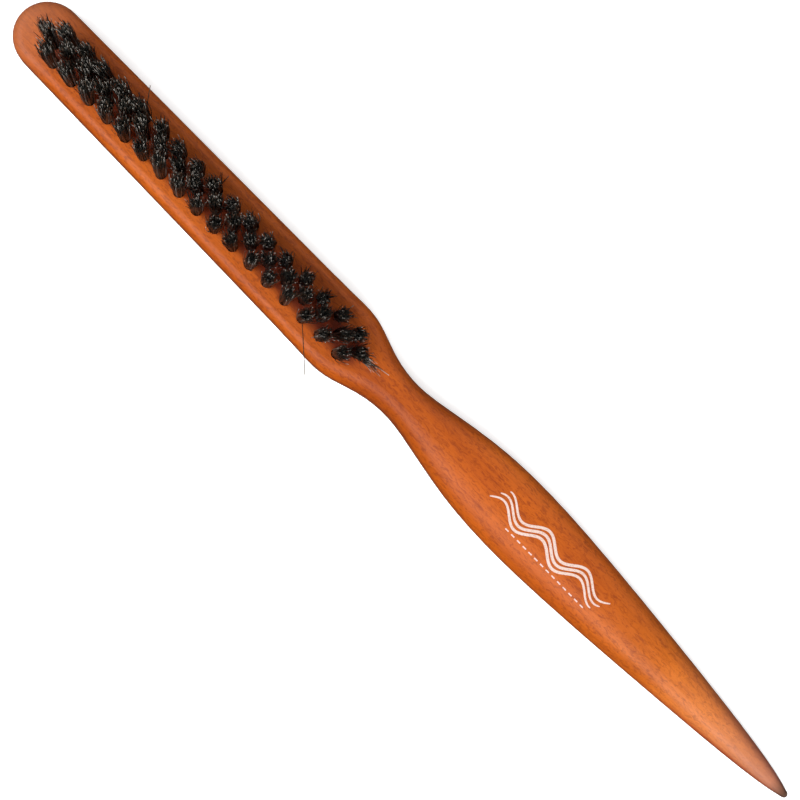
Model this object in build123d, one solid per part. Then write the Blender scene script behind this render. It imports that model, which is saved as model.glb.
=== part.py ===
"""Three-row teasing brush: a wooden body with a pointed tail, set with natural-bristle tufts.

Millimetres. +X runs along the brush from the head to the tail tip, +Y across it, and +Z up out
of the bristle face. The origin is on the plane that the flat back lies on, under the middle of
the brush. Held by the handle, head away and bristles up, the -Y row is the left one.
"""
from build123d import *
import os

# Overall sizes
total_length = 225.0
head_thickness = 9.0

face_edge_radius = 2.2  # round along the head's bristle face
back_edge_radius = 4.2  # round along the head's back
back_planing = 0.03  # planed off the finished back, which leaves a true flat to lie on

# The head is a straight board with a half-round front end
front_width = 13.9

# From the head's rear to the tail tip. Each station is x, width, height, and how oval the
# section is: 0 is the head's square-shouldered board, 1 is the handle's full oval.
stations = [
    (-34.0, 15.6, head_thickness, 0.0),  # rear of the straight head
    (-30.5, 15.77, head_thickness, 0.0),
    (-26.5, 16.05, head_thickness, 0.03),  # widest point of the shoulders
    (-22.0, 15.7, head_thickness, 0.15),
    (-14.4, 11.3, 8.8, 0.55),
    (-6.3, 9.05, 8.6, 0.9),  # neck
    (2.0, 11.3, 8.6, 1.0),
    (14.3, 15.4, 8.8, 1.0),
    (27.0, 16.9, 8.9, 1.0),  # widest point of the handle
    (43.7, 15.8, 8.7, 1.0),
    (65.2, 12.55, 7.8, 1.0),
    (87.0, 8.6, 6.0, 1.0),
    (102.0, 5.2, 4.1, 1.0),
]
tip_width = 1.7
tip_height = 1.6

# An oval section's corners take these shares of its width and of its height
oval_side_share = 0.42
oval_face_share = 0.46
oval_back_share = 0.48

# Bristle rows: the middle row has one tuft more, and sits half a pitch off the outer rows
row_spacing = 2.8
row_offset = -0.3  # the drilled pattern sits slightly to the left of the middle
tuft_pitch = 4.9
middle_tufts = 18
first_middle_x = -103.4

# Tufts
hole_radius = 1.15
hole_depth = 6.0
drill_clearance = 1.0  # the drill starts this far above the face
tuft_height = 12.5  # above the bristle face
tuft_tip_radius = 1.35  # the bristles spread a little towards their ends
tuft_dome = 0.5

# Anchors: flat wire staples that the bristles are folded round, driven into the hole's walls
anchor_length = 2.9
anchor_thickness = 0.4
anchor_height = 1.8
fold_thickness = 0.6  # folded bristle between the anchor and the bottom of the hole

os.makedirs("parts", exist_ok=True)

hole_floor = head_thickness - hole_depth
front_x = (front_width - total_length) / 2
tip_x = (total_length - tip_width) / 2


def blend(square, oval, share):
    """A value part of the way from the square section's to the oval section's."""
    return square + (oval - square) * share


def section(x, width, height, oval):
    """The body's cross-section at x: flat back, face and sides, with an elliptical arc at each corner."""
    face_y = blend(face_edge_radius, oval_side_share * width, oval)
    face_z = blend(face_edge_radius, oval_face_share * height, oval)
    back_y = blend(back_edge_radius, oval_side_share * width, oval)
    back_z = blend(back_edge_radius, oval_back_share * height, oval)
    side = width / 2
    low, high = back_z - back_planing, height - face_z
    outline = [
        Line((back_y - side, -back_planing), (side - back_y, -back_planing)),
        EllipticalCenterArc((side - back_y, low), back_y, back_z, -90),
        Line((side, low), (side, high)),
        EllipticalCenterArc((side - face_y, high), face_y, face_z, 0),
        Line((side - face_y, height), (face_y - side, height)),
        EllipticalCenterArc((face_y - side, high), face_y, face_z, 90),
        Line((-side, high), (-side, low)),
        EllipticalCenterArc((back_y - side, low), back_y, back_z, 180),
    ]
    return Plane.YZ.offset(x) * make_face(outline)


def round_end(end_section, x, side):
    """Half of an end section turned about the upright line through its middle."""
    half = split(end_section, bisect_by=Plane.XZ, keep=Keep.TOP)
    return revolve(half, Axis((x, 0, 0), (0, 0, 1)), 180 * side)


def wooden_blank():
    """Head, neck, handle and tail in one piece, before the bristle holes are drilled."""
    front = section(front_x, front_width, head_thickness, 0.0)
    tip = section(tip_x, tip_width, tip_height, 1.0)
    sections = [section(*station) for station in stations] + [tip]
    head = loft([front, sections[0]], ruled=True) + round_end(front, front_x, -1)
    handle = loft(sections) + round_end(tip, tip_x, 1)
    return split(head + handle, bisect_by=Plane.XY, keep=Keep.TOP)


def tuft_places():
    """Name and centre of every tuft, row by row."""
    rows = [
        ("left", -row_spacing, middle_tufts - 1, tuft_pitch / 2),
        ("middle", 0.0, middle_tufts, 0.0),
        ("right", row_spacing, middle_tufts - 1, tuft_pitch / 2),
    ]
    for row, y, count, stagger in rows:
        for number in range(count):
            x = first_middle_x + stagger + number * tuft_pitch
            yield row, f"tuft_{row}_{number + 1:02d}", Pos(x, y + row_offset, 0)


def anchor():
    """One flat staple across the bottom of a hole, longer than the hole is wide."""
    middle_z = hole_floor + fold_thickness + anchor_height / 2
    return Pos(0, 0, middle_z) * Box(anchor_thickness, anchor_length, anchor_height)


def tuft():
    """One bundle of bristles: a plug that fills its hole, folded round the anchor, then a spreading fan."""
    tip_z = head_thickness + tuft_height
    shoulder_z = tip_z - tuft_dome
    dome_radius = (tuft_tip_radius**2 + tuft_dome**2) / (2 * tuft_dome)
    profile = make_face([
        Polyline(
            (0, tip_z), (0, hole_floor), (hole_radius, hole_floor),
            (hole_radius, head_thickness), (tuft_tip_radius, shoulder_z),
        ),
        RadiusArc((tuft_tip_radius, shoulder_z), (0, tip_z), -dome_radius),
    ])
    return revolve(Plane.XZ * profile, Axis.Z) - anchor()


def drilled_hole():
    """What a blind hole takes out of the wood, with the two slots that the anchor's ends cut."""
    drill_length = hole_depth + drill_clearance
    drill = Pos(0, 0, hole_floor + drill_length / 2) * Cylinder(hole_radius, drill_length)
    return drill + anchor()


places = list(tuft_places())
one_tuft, one_anchor, one_hole = tuft(), anchor(), drilled_hole()

body = wooden_blank() - [place * one_hole for _, _, place in places]
export_step(body, "parts/wooden_body.step")

for _, name, place in places:
    export_step(place * one_tuft, f"parts/{name}.step")

for row in ("left", "middle", "right"):
    group = Compound([place * one_anchor for name_row, _, place in places if name_row == row])
    export_step(group, f"parts/anchors_{row}.step")
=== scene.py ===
"""Looks of the three-row teasing brush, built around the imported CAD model."""

import math
import random

import bmesh
import bpy
from mathutils import Matrix, Vector
from mathutils.bvhtree import BVHTree


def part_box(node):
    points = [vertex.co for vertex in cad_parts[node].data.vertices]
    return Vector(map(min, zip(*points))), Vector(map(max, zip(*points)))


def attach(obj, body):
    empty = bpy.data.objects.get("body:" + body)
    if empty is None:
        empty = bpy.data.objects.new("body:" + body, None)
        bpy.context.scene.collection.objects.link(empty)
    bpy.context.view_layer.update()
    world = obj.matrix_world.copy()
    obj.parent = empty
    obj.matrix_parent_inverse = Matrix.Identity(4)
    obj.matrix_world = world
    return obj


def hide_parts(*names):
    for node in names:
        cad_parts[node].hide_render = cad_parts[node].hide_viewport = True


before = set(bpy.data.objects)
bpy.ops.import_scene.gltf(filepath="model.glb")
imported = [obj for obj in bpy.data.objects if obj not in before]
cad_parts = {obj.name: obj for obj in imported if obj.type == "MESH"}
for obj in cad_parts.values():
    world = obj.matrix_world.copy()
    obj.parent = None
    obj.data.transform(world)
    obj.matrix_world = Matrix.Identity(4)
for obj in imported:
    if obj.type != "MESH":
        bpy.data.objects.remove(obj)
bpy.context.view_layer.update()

MM = 0.001
ROWS = {"left": 17, "middle": 18, "right": 17}
BODY = "root"

wood_low, wood_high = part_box("wooden_body")
first_low, first_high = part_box("tuft_middle_01")
last_low, last_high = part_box("tuft_middle_18")
tuft_tip_z = first_high.z
tuft_tip_radius = (first_high.x - first_low.x) / 2
middle_row_y = (first_low.y + first_high.y) / 2


# ---------------------------------------------------------------- materials

class Nodes:
    """A new material with one Principled shader, and short calls to add nodes to it."""

    def __init__(self, name):
        self.material = bpy.data.materials.new(name)
        self.material.use_nodes = True
        self.tree = self.material.node_tree
        self.shader = next(n for n in self.tree.nodes if n.type == "BSDF_PRINCIPLED")

    def add(self, kind, **settings):
        """Adds a node. A setting names a property of the node, or else one of its inputs."""
        node = self.tree.nodes.new("ShaderNode" + kind)
        for key, value in settings.items():
            if hasattr(node, key):
                setattr(node, key, value)
            else:
                node.inputs[key.replace("_", " ")].default_value = value
        return node

    def link(self, source, target):
        self.tree.links.new(source, target)

    def stretched(self, scale, location=(0, 0, 0)):
        """Object coordinates, scaled unevenly, so that a pattern runs along one axis."""
        place = self.add("TexCoord")
        mapping = self.add("Mapping")
        mapping.inputs["Scale"].default_value = scale
        mapping.inputs["Location"].default_value = location
        self.link(place.outputs["Object"], mapping.inputs["Vector"])
        return mapping.outputs["Vector"]

    def noise(self, vector, scale, detail=4.0, roughness=0.55, distortion=0.0):
        node = self.add("TexNoise", Scale=scale, Detail=detail, Roughness=roughness)
        node.inputs["Distortion"].default_value = distortion
        self.link(vector, node.inputs["Vector"])
        return node.outputs["Fac"]

    def ramp(self, factor, stops):
        """A colour ramp from stops of (position, colour)."""
        node = self.add("ValToRGB")
        elements = node.color_ramp.elements
        while len(elements) < len(stops):
            elements.new(0.5)
        for element, (position, colour) in zip(elements, stops):
            element.position = position
            element.color = (*colour, 1.0)
        self.link(factor, node.inputs["Fac"])
        return node.outputs["Color"]

    def spread(self, factor, low, high, out_low=0.0, out_high=1.0):
        """Maps the range low to high onto out_low to out_high."""
        node = self.add("MapRange")
        for key, value in (
            ("From Min", low), ("From Max", high), ("To Min", out_low), ("To Max", out_high)
        ):
            node.inputs[key].default_value = value
        self.link(factor, node.inputs["Value"])
        return node.outputs["Result"]

    def mix(self, factor, first, second, blend="MIX"):
        """Mixes two colours. factor, first and second are sockets or plain values."""
        node = self.add("Mix")
        node.data_type = "RGBA"
        node.blend_type = blend
        for socket, value in (
            (node.inputs["Factor"], factor), (node.inputs[6], first), (node.inputs[7], second)
        ):
            if isinstance(value, bpy.types.NodeSocket):
                self.link(value, socket)
            elif isinstance(value, tuple):
                socket.default_value = (*value, 1.0)
            else:
                socket.default_value = value
        return node.outputs[2]

    def math(self, operation, first, second=None):
        node = self.add("Math", operation=operation)
        for socket, value in zip(node.inputs, (first, second)):
            if isinstance(value, bpy.types.NodeSocket):
                self.link(value, socket)
            elif value is not None:
                socket.default_value = value
        return node.outputs[0]

    def bump(self, height, strength, distance, after=None):
        node = self.add("Bump", Strength=strength, Distance=distance)
        self.link(height, node.inputs["Height"])
        if after is not None:
            self.link(after, node.inputs["Normal"])
        return node.outputs["Normal"]


def set_inputs(shader, **values):
    for key, value in values.items():
        shader.inputs[key.replace("_", " ")].default_value = value


def lacquered_wood():
    """Orange-brown stained hardwood under a thin satin lacquer, with its grain along X, and with
    shade and sheen painted into its colour by place and facing.
    """
    w = Nodes("lacquered_wood")
    fibre = w.noise(w.stretched((140, 1500, 1500)), 1.0, 5.0, 0.6, 0.4)
    ray = w.noise(w.stretched((650, 1700, 1700), (0.2, 0.6, 0.1)), 1.0, 4.0, 0.65, 1.0)
    figure = w.noise(w.stretched((18, 110, 140), (0.3, 0.1, 0.2)), 1.0, 3.0, 0.5, 0.6)
    blotch = w.noise(w.stretched((45, 90, 90), (0.7, 0.2, 0.4)), 1.0, 2.0)
    pore = w.noise(w.stretched((700, 3600, 3600), (0.5, 0.3, 0.9)), 1.0, 2.0, 0.5)

    colour = w.ramp(figure, [
        (0.30, (0.47, 0.088, 0.0035)),
        (0.52, (0.57, 0.116, 0.0050)),
        (0.75, (0.67, 0.152, 0.0080)),
    ])
    grain = w.ramp(fibre, [
        (0.30, (0.70, 0.60, 0.52)),
        (0.50, (0.95, 0.93, 0.90)),
        (0.72, (1.0, 1.0, 1.0)),
    ])
    colour = w.mix(0.75, colour, grain, "MULTIPLY")
    mottle = w.ramp(ray, [
        (0.36, (0.62, 0.53, 0.47)),
        (0.50, (0.96, 0.95, 0.94)),
        (0.62, (1.0, 1.0, 1.0)),
    ])
    colour = w.mix(0.9, colour, mottle, "MULTIPLY")
    cloud = w.ramp(blotch, [(0.35, (0.88, 0.82, 0.78)), (0.65, (1.0, 1.0, 1.0))])
    colour = w.mix(0.7, colour, cloud, "MULTIPLY")
    colour = w.mix(w.spread(pore, 0.66, 0.76, 0.0, 0.7), colour, (0.20, 0.030, 0.004))

    # painted shade: the face between the rows of bristles is darkened and reddened where the tufts
    # shade it
    place = w.add("SeparateXYZ")
    w.link(w.add("TexCoord").outputs["Object"], place.inputs["Vector"])
    x, y, z = (place.outputs[axis] for axis in "XYZ")
    off_middle = w.math("ABSOLUTE", w.math("SUBTRACT", y, middle_row_y))
    row_gap_shade = w.spread(off_middle, 1.8 * MM, 3.8 * MM, 0.9, 0.0)
    rear = w.spread(x, last_high.x - 1.5 * MM, last_high.x + 1.0 * MM, 1.0, 0.0)
    front = w.spread(x, first_low.x, first_low.x + 2.0 * MM)
    upper = w.spread(z, wood_high.z - 0.4 * MM, wood_high.z - 0.1 * MM)
    row_gap_shade = w.math("MULTIPLY", row_gap_shade, rear)
    row_gap_shade = w.math("MULTIPLY", row_gap_shade, w.math("MULTIPLY", front, upper))
    colour = w.mix(row_gap_shade, colour, (0.34, 0.15, 0.16), "MULTIPLY")

    # painted highlight and sheen: the wood is paler towards the tail and duller at both ends, where
    # light and reflections on the lacquer are painted in
    tail_highlight = w.spread(x, 45 * MM, 90 * MM, 0.0, 0.5)
    colour = w.mix(tail_highlight, colour, w.mix(1.0, colour, (1.35, 2.1, 4.5), "MULTIPLY"))
    # painted sheen: a pale veil over the tail
    tail_sheen = w.spread(x, 70 * MM, 90 * MM, 0.0, 0.20)
    colour = w.mix(tail_sheen, colour, (0.86, 0.37, 0.20))
    # painted sheen: the front rim of the head paler and pinker
    front_rim_sheen = w.spread(x, wood_low.x + 14 * MM, wood_low.x + 1 * MM, 0.0, 0.45)
    colour = w.mix(front_rim_sheen, colour, (0.38, 0.165, 0.095))
    # painted sheen: a greyish veil towards the point
    tail_end_sheen = w.spread(x, wood_high.x - 26 * MM, wood_high.x - 4 * MM, 0.0, 0.7)
    colour = w.mix(tail_end_sheen, colour, (0.36, 0.155, 0.115))

    # painted shade: the neck is darker, and more so on its left side
    from_neck = w.math("ABSOLUTE", w.math("ADD", x, 3 * MM))
    neck_shade = w.spread(from_neck, 4 * MM, 17 * MM, 0.8, 0.0)
    neck_shade = w.math("MULTIPLY", neck_shade, w.spread(y, 0.0, 3.5 * MM, 1.0, 0.25))
    colour = w.mix(neck_shade, colour, (0.74, 0.66, 0.62), "MULTIPLY")

    # painted shade: the edges of the tail and the flanks are darker, by the way they face
    facing = w.add("SeparateXYZ")
    w.link(w.add("NewGeometry").outputs["Normal"], facing.inputs["Vector"])
    on_tail = w.spread(x, 60 * MM, 90 * MM)
    right_edge_shade = w.math("MULTIPLY", w.spread(facing.outputs["Y"], 0.05, 0.65), on_tail)
    colour = w.mix(right_edge_shade, colour, (0.58, 0.50, 0.62), "MULTIPLY")
    left_edge_shade = w.math("MULTIPLY", w.spread(facing.outputs["Y"], -0.60, -0.90), on_tail)
    colour = w.mix(left_edge_shade, colour, (0.66, 0.36, 0.20), "MULTIPLY")
    flank_shade = w.spread(w.math("ABSOLUTE", facing.outputs["Z"]), 0.12, 0.50, 0.8, 0.0)
    colour = w.mix(flank_shade, colour, (0.42, 0.30, 0.24), "MULTIPLY")

    # the point is nearly black with stain
    point = w.spread(x, wood_high.x - 6.0 * MM, wood_high.x - 1.0 * MM, 0.0, 0.9)
    colour = w.mix(point, colour, (0.055, 0.030, 0.018))
    w.link(colour, w.shader.inputs["Base Color"])

    w.link(w.spread(fibre, 0.3, 0.7, 0.50, 0.38), w.shader.inputs["Roughness"])
    surface = w.bump(fibre, 0.15, 0.0002)
    surface = w.bump(pore, 0.15, 0.0001, surface)
    w.link(surface, w.shader.inputs["Normal"])
    set_inputs(w.shader, Specular_IOR_Level=0.2, Coat_Weight=0.14, Coat_Roughness=0.36,
               Coat_IOR=1.45)
    return w.material


def bristle_hair(name, colour, tip_glint_colour):
    """Natural bristle, streaked along its length, with tip_glint_colour in its last 3 mm: paler
    ends, partly the bristles' own and partly a painted glint.
    """
    h = Nodes(name)
    streak = h.noise(h.stretched((9000, 9000, 500)), 1.0, 3.0)
    height = h.add("SeparateXYZ")
    h.link(h.add("TexCoord").outputs["Object"], height.inputs["Vector"])
    # painted glint: the paler tip colour, partly the bristles' own ends, blends in over the last 3
    # mm
    tip = h.spread(height.outputs["Z"], tuft_tip_z - 3.0 * MM, tuft_tip_z)
    darker = tuple(0.45 * c for c in colour)
    body = h.ramp(streak, [(0.35, darker), (0.65, colour)])
    h.link(h.mix(tip, body, tip_glint_colour), h.shader.inputs["Base Color"])
    h.link(h.spread(streak, 0.3, 0.7, 0.30, 0.45), h.shader.inputs["Roughness"])
    h.link(h.bump(streak, 0.2, 0.00002), h.shader.inputs["Normal"])
    set_inputs(h.shader, Specular_IOR_Level=0.4)
    return h.material


def anchor_steel():
    """Flattened plain wire with faint rolling marks."""
    s = Nodes("anchor_steel")
    marks = s.noise(s.stretched((400, 4000, 400)), 1.0, 3.0)
    s.link(s.ramp(marks, [(0.3, (0.42, 0.42, 0.41)), (0.7, (0.62, 0.62, 0.60))]),
           s.shader.inputs["Base Color"])
    s.link(s.spread(marks, 0.3, 0.7, 0.30, 0.45), s.shader.inputs["Roughness"])
    set_inputs(s.shader, Metallic=1.0)
    return s.material


def pale_ink():
    """Screen-printed ink, slightly broken where it lies over the grain."""
    p = Nodes("pale_ink")
    speckle = p.noise(p.stretched((2500, 5000, 2500)), 1.0, 3.0)
    p.link(p.ramp(speckle, [(0.30, (0.55, 0.33, 0.25)), (0.50, (0.74, 0.58, 0.52))]),
           p.shader.inputs["Base Color"])
    p.link(p.spread(speckle, 0.3, 0.7, 0.45, 0.6), p.shader.inputs["Roughness"])
    return p.material


def floor_paper():
    """Plain white studio paper with a very faint tooth."""
    f = Nodes("floor_paper")
    tooth = f.noise(f.stretched((900, 900, 900)), 1.0, 4.0)
    f.link(f.ramp(tooth, [(0.3, (0.93, 0.93, 0.93)), (0.7, (0.96, 0.96, 0.96))]),
           f.shader.inputs["Base Color"])
    set_inputs(f.shader, Roughness=0.9, Specular_IOR_Level=0.1,
               Emission_Color=(1.0, 1.0, 1.0, 1.0), Emission_Strength=0.55)
    return f.material


def backdrop_cloth():
    """Evenly lit pale cloth, far behind everything."""
    c = Nodes("backdrop_cloth")
    cloud = c.noise(c.stretched((2, 2, 2)), 1.0)
    c.link(c.ramp(cloud, [(0.3, (0.95, 0.95, 0.95)), (0.7, (1.0, 1.0, 1.0))]),
           c.shader.inputs["Emission Color"])
    set_inputs(c.shader, Base_Color=(0.0, 0.0, 0.0, 1.0), Roughness=1.0, Specular_IOR_Level=0.0,
               Emission_Strength=1.0)
    return c.material


# ---------------------------------------------------------------- bristles

HOLE_RADIUS = 1.15 * MM
HAIRS_PER_TUFT = 130
HAIR_RADIUS = 0.095 * MM
HAIR_SIDES = 5
HAIR_STEPS = 6
ROOT_DEPTH = 1.0 * MM  # how far down in its hole a bristle is modelled
GOLDEN_ANGLE = math.pi * (3 - math.sqrt(5))  # spaces the bristles evenly over the hole

# The tightly packed middle of a bundle, as shares of the hole's radius and the tuft's height
CORE_WIDTH = 0.75
CORE_HEIGHT = 0.6

LOOSE_SHARE = 0.30  # of a tuft's bristles, which spread more than the others
# grey bristles, more of them at the front, stand partly for the bristles' mixed colour and partly
# for painted glints; the brown ones partly for warm glints
BROWN_SHARE = 0.1
GREY_GLINT_SHARE_FRONT = 0.19
GREY_GLINT_SHARE_LOST = 0.09  # by the rear of the head

BLACK, BROWN, GREY_GLINT, PALE = range(4)  # places in a tuft's list of materials


def add_hair(mesh, line, radius, material_index, taper=0.55):
    """A tapered tube along line, a list of points, closed at both ends."""
    rings = []
    for step, point in enumerate(line):
        ahead = line[min(step + 1, len(line) - 1)] - line[max(step - 1, 0)]
        ahead.normalize()
        across = ahead.cross(Vector((0.31, 0.95, 0.05))).normalized()
        other = ahead.cross(across)
        share = step / (len(line) - 1)
        thick = radius * (1.0 - taper * share * share)
        rings.append([
            mesh.verts.new(point + thick * (math.cos(a) * across + math.sin(a) * other))
            for a in (2 * math.pi * side / HAIR_SIDES for side in range(HAIR_SIDES))
        ])
    for low, high in zip(rings, rings[1:]):
        for i in range(HAIR_SIDES):
            j = (i + 1) % HAIR_SIDES
            face = mesh.faces.new((low[i], low[j], high[j], high[i]))
            face.material_index = material_index
            face.smooth = True
    for ring, flip in ((rings[0], True), (rings[-1], False)):
        face = mesh.faces.new(ring[::-1] if flip else ring)
        face.material_index = material_index


def hair_line(root, tip, bow):
    """A gently bowed line from root to tip that leaves the hole nearly upright."""
    points = []
    for step in range(HAIR_STEPS + 1):
        t = step / HAIR_STEPS
        lean = t ** 1.35
        point = Vector((
            root.x + (tip.x - root.x) * lean,
            root.y + (tip.y - root.y) * lean,
            root.z + (tip.z - root.z) * t,
        ))
        points.append(point + bow * math.sin(math.pi * t))
    return points


def finish_mesh(mesh, name, materials):
    data = bpy.data.meshes.new(name)
    mesh.to_mesh(data)
    mesh.free()
    piece = bpy.data.objects.new(name, data)
    bpy.context.scene.collection.objects.link(piece)
    for material in materials:
        data.materials.append(material)
    return piece


def bundle(mesh, rng, centre, face_z, tip_z, inward):
    """One bundle of bristles, packed in its hole, that rises as a column with a ragged, blunt end.
    The front bristles are greyer, with more grey bristles that stand partly for painted glints, and
    the last few tufts lean back towards the handle. inward is how far the tuft leans across the
    head, in mm."""
    along = (centre.x - first_low.x) / (last_high.x - first_low.x)
    grey_glint_share = GREY_GLINT_SHARE_FRONT - GREY_GLINT_SHARE_LOST * along
    backward = 1.3 * max(0.0, along * 4 - 3) ** 2
    lean = Vector((rng.gauss(backward, 0.28), rng.gauss(inward, 0.22), 0)) * MM
    root = Vector((centre.x, centre.y, face_z - ROOT_DEPTH))
    middle = centre + CORE_HEIGHT * lean
    middle.z = face_z + CORE_HEIGHT * (tip_z - face_z)
    add_hair(mesh, hair_line(root, middle, Vector()), CORE_WIDTH * HOLE_RADIUS, BLACK, 0.2)
    for i in range(HAIRS_PER_TUFT):
        share = math.sqrt((i + 0.5) / HAIRS_PER_TUFT)
        angle = i * GOLDEN_ANGLE + rng.uniform(-0.3, 0.3)
        out = Vector((math.cos(angle), math.sin(angle), 0))
        root = centre + out * share * (HOLE_RADIUS - HAIR_RADIUS)
        root.z = face_z - ROOT_DEPTH
        loose = rng.random() < LOOSE_SHARE
        spread = rng.uniform(1.2, 1.8) if loose else rng.uniform(0.9, 1.2)
        tip = centre + out * share * spread * tuft_tip_radius + lean
        tip += Vector((rng.gauss(0, 0.16), rng.gauss(0, 0.16), 0)) * MM
        tip.z = tip_z - (abs(rng.gauss(0, 0.55)) + 0.7 * share ** 3) * MM
        bow = Vector((rng.gauss(0, 0.20), rng.gauss(0, 0.20), 0)) * MM
        shares = (1.0 - BROWN_SHARE - grey_glint_share, BROWN_SHARE, grey_glint_share)
        shade = rng.choices((BLACK, BROWN, GREY_GLINT), shares)[0]
        radius = HAIR_RADIUS * rng.uniform(0.75, 1.2)
        add_hair(mesh, hair_line(root, tip, bow), radius, shade)


INWARD = {"left": 0.55, "middle": 0.30, "right": -0.40}  # each row's lean across the head, in mm

# Bristles that have worked loose, by the tuft that they grow from: how far the tip lies from the
# middle of the hole along X and Y, how high it is above the face, all in mm, and the shade.
STRAYS = {
    "tuft_left_15": (8.3, -7.9, 10.6, BROWN),
    "tuft_middle_18": (7.3, 0.8, 9.9, PALE),
    "tuft_right_05": (-1.2, 3.7, 11.7, BROWN),
    "tuft_right_09": (1.2, 2.3, 12.0, BLACK),
    "tuft_right_16": (0.4, 2.2, 12.1, BROWN),
}
SPLAYED = "tuft_middle_18"
SPLAYED_HAIRS = 60


def splay(mesh, rng, centre, face_z):
    """The last tuft's outer bristles, bent over towards the handle."""
    length = tuft_tip_z - face_z
    for _ in range(SPLAYED_HAIRS):
        reach = rng.triangular(1.6, 6.4, 3.0) * MM
        side = rng.gauss(-0.35, 0.5) * MM
        root = centre + Vector((rng.uniform(0.0, 0.9), rng.uniform(-0.8, 0.8), 0)) * MM
        root.z = face_z - ROOT_DEPTH
        tip = centre + Vector((reach, side, 0))
        tip.z = face_z + math.sqrt(length ** 2 - reach ** 2) - abs(rng.gauss(0, 0.5)) * MM
        shade = rng.choices((BLACK, BROWN, GREY_GLINT), (0.3, 0.3, 0.4))[0]
        radius = HAIR_RADIUS * rng.uniform(0.7, 1.0)
        add_hair(mesh, hair_line(root, tip, Vector()), radius, shade)


def tufts(hair_materials):
    """A piece for every tuft, each in place of its CAD solid."""
    for row, count in ROWS.items():
        for number in range(1, count + 1):
            node = f"tuft_{row}_{number:02d}"
            low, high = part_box(node)
            centre = Vector(((low.x + high.x) / 2, (low.y + high.y) / 2, 0))
            rng = random.Random(node)
            mesh = bmesh.new()
            bundle(mesh, rng, centre, wood_high.z, high.z, INWARD[row])
            if node == SPLAYED:
                splay(mesh, rng, centre, wood_high.z)
            if node in STRAYS:
                x, y, height, shade = STRAYS[node]
                root = Vector((centre.x, centre.y, wood_high.z - ROOT_DEPTH))
                tip = Vector((centre.x + x * MM, centre.y + y * MM, wood_high.z + height * MM))
                add_hair(mesh, hair_line(root, tip, Vector()), HAIR_RADIUS, shade, 0.1)
            piece = finish_mesh(mesh, f"bristles_{row}_{number:02d}", hair_materials)
            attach(piece, BODY)
            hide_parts(node)


# ---------------------------------------------------------------- printed mark

MARK_START = 19.5 * MM
MARK_END = 53.0 * MM
MARK_MIDDLE_Y = 0.1 * MM
WAVE_LENGTH = 11.2 * MM
WAVE_HEIGHT = 1.35 * MM
STRAND_SPACING = 1.15 * MM
STRAND_SHIFT = 1.2 * MM  # each strand starts and ends this far past the one to its left
DASHES_START = MARK_START + 7.0 * MM
DASHES_END = MARK_END - 3.0 * MM
DASH_Y = MARK_MIDDLE_Y - 3.5 * MM
DASH_PITCH = 1.7 * MM
DASH_HALF_WIDTH = 0.13 * MM
DASH_STEP = 0.3 * MM  # a dash is three steps long
INK_THICKNESS = 0.04 * MM
INK_STEP = 0.4 * MM


def ink_stroke(mesh, ground, points, half_width):
    """A thin closed band of ink along points (x, y), lying on the wood under it. half_width
    gives half the band's width at each point's number."""
    rings = []
    for i, (x, y) in enumerate(points):
        before, after = points[max(i - 1, 0)], points[min(i + 1, len(points) - 1)]
        along = Vector((after[0] - before[0], after[1] - before[1])).normalized()
        ring = []
        for side in (1, -1):
            px, py = x - side * along.y * half_width(i), y + side * along.x * half_width(i)
            z = ground(px, py)
            ring.append((px, py, z + INK_THICKNESS))
            ring.append((px, py, z - INK_THICKNESS / 2))
        top_left, low_left, top_right, low_right = (mesh.verts.new(corner) for corner in ring)
        rings.append((top_left, top_right, low_right, low_left))
    for one, two in zip(rings, rings[1:]):
        for i in range(4):
            j = (i + 1) % 4
            mesh.faces.new((one[j], one[i], two[i], two[j]))
    mesh.faces.new(rings[0])
    mesh.faces.new(rings[-1][::-1])


def printed_mark():
    """A plain ornament in pale ink: three waving strands along the grip, beside a row of dashes."""
    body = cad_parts["wooden_body"]
    tree = BVHTree.FromObject(body, bpy.context.evaluated_depsgraph_get())
    above = wood_high.z + 5 * MM

    def ground(x, y):
        return tree.ray_cast(Vector((x, y, above)), Vector((0, 0, -1)))[0].z

    mesh = bmesh.new()
    for strand in (-1, 0, 1):
        start = MARK_START + (1 + strand) * STRAND_SHIFT
        end = MARK_END - (1 - strand) * STRAND_SHIFT
        count = round((end - start) / INK_STEP)
        points = []
        for i in range(count + 1):
            x = start + (end - start) * i / count
            wave = WAVE_HEIGHT * math.sin(2 * math.pi * (x - MARK_START) / WAVE_LENGTH)
            points.append((x, MARK_MIDDLE_Y + wave + STRAND_SPACING * strand))
        swell = [0.10 + 0.20 * math.sin(math.pi * i / count) ** 0.4 for i in range(count + 1)]
        ink_stroke(mesh, ground, points, lambda i, swell=swell: swell[i] * MM)
    x = DASHES_START
    while x < DASHES_END:
        dash = [(x + step * DASH_STEP, DASH_Y) for step in range(4)]
        ink_stroke(mesh, ground, dash, lambda i: DASH_HALF_WIDTH)
        x += DASH_PITCH
    piece = finish_mesh(mesh, "handle_ornament", [pale_ink()])
    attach(piece, BODY)


# ---------------------------------------------------------------- camera, lights and floor

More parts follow.
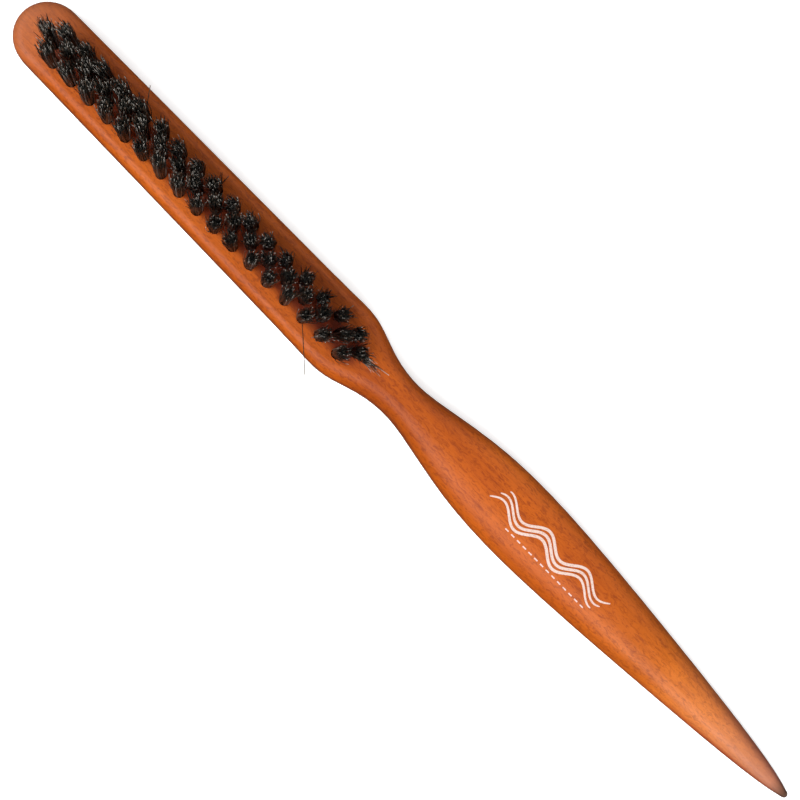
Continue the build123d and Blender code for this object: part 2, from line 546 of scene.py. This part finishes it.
def camera():
    """A close overhead view, nearly over the head's left edge, with the tail to the lower right."""
    place = Vector((-28.0, -19.5, 259.0)) * MM
    aim = Vector((-7.07, -0.54, 9.0)) * MM
    turn = math.radians(-45.71)  # of the +X axis in the picture
    data = bpy.data.cameras.new("camera")
    data.sensor_fit = "HORIZONTAL"
    data.angle = math.radians(35.24)
    data.clip_start = 0.01
    view = bpy.data.objects.new("camera", data)
    bpy.context.scene.collection.objects.link(view)
    ahead = (aim - place).normalized()
    along = Vector((1, 0, 0))
    along = (along - ahead * along.dot(ahead)).normalized()
    upward = (-ahead).cross(along)
    right = along * math.cos(turn) - upward * math.sin(turn)
    up = along * math.sin(turn) + upward * math.cos(turn)
    axes = Matrix((right, up, -ahead)).transposed()
    view.matrix_world = Matrix.Translation(place) @ axes.to_4x4()
    bpy.context.scene.camera = view


def soft_light(name, toward, strength, spread_degrees):
    """A very wide, even light that comes from the direction toward."""
    data = bpy.data.lights.new(name, "SUN")
    data.angle = math.radians(spread_degrees)
    data.energy = strength
    light = bpy.data.objects.new(name, data)
    bpy.context.scene.collection.objects.link(light)
    light.rotation_euler = Vector(toward).to_track_quat("Z", "Y").to_euler()


def studio():
    """Low soft lights all round, the strongest past the left edge, and little from overhead."""
    world = bpy.data.worlds.new("studio")
    world.use_nodes = True
    background = world.node_tree.nodes["Background"]
    background.inputs["Color"].default_value = (1.0, 1.0, 1.0, 1.0)
    background.inputs["Strength"].default_value = 0.12
    scene = bpy.context.scene
    scene.world = world
    soft_light("key", (-0.30, -0.85, 1.20), 2.35, 50)
    soft_light("fill_right", (0.1, 1.0, 0.9), 0.65, 60)
    soft_light("fill_tail", (0.75, -0.45, 1.0), 1.5, 30)
    soft_light("fill_front", (-1.0, -0.1, 0.9), 0.5, 50)
    scene.view_settings.view_transform = "Standard"
    scene.view_settings.look = "None"


def unseen_by_the_wood(piece):
    """Keeps a piece out of diffuse and glossy rays, so that it neither lights the brush nor is
    mirrored in the lacquer."""
    piece.visible_glossy = False
    piece.visible_diffuse = False
    piece.visible_transmission = False


FLOOR_REACH = 3.0
BACKDROP_RADIUS = 1.5 * FLOOR_REACH


def floor():
    """A self-lit white sheet, with a pale backdrop all round and over it."""
    mesh = bmesh.new()
    mesh.faces.new([
        mesh.verts.new((x * FLOOR_REACH, y * FLOOR_REACH, 0))
        for x, y in ((-1, -1), (1, -1), (1, 1), (-1, 1))
    ])
    sheet = finish_mesh(mesh, "floor", [floor_paper()])
    mesh = bmesh.new()
    bmesh.ops.create_icosphere(mesh, subdivisions=4, radius=BACKDROP_RADIUS)
    backdrop = finish_mesh(mesh, "backdrop", [backdrop_cloth()])
    backdrop.visible_shadow = False
    unseen_by_the_wood(sheet)
    unseen_by_the_wood(backdrop)


camera()
studio()
floor()

wood = lacquered_wood()
steel = anchor_steel()
# the grey bristles stand partly for painted glints, and each shade's paler tip colour partly for a
# painted glint
hairs = [
    bristle_hair("bristle_black", (0.008, 0.0075, 0.006), (0.018, 0.017, 0.013)),
    bristle_hair("bristle_brown", (0.110, 0.068, 0.042), (0.140, 0.095, 0.065)),
    bristle_hair("bristle_grey_glint", (0.200, 0.186, 0.172), (0.520, 0.480, 0.430)),
    bristle_hair("bristle_pale", (0.620, 0.420, 0.330), (0.800, 0.620, 0.520)),
]
for name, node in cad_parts.items():
    if not name.startswith("tuft_"):
        node.material_slots[0].material = steel if name.startswith("anchors_") else wood
tufts(hairs)
printed_mark()
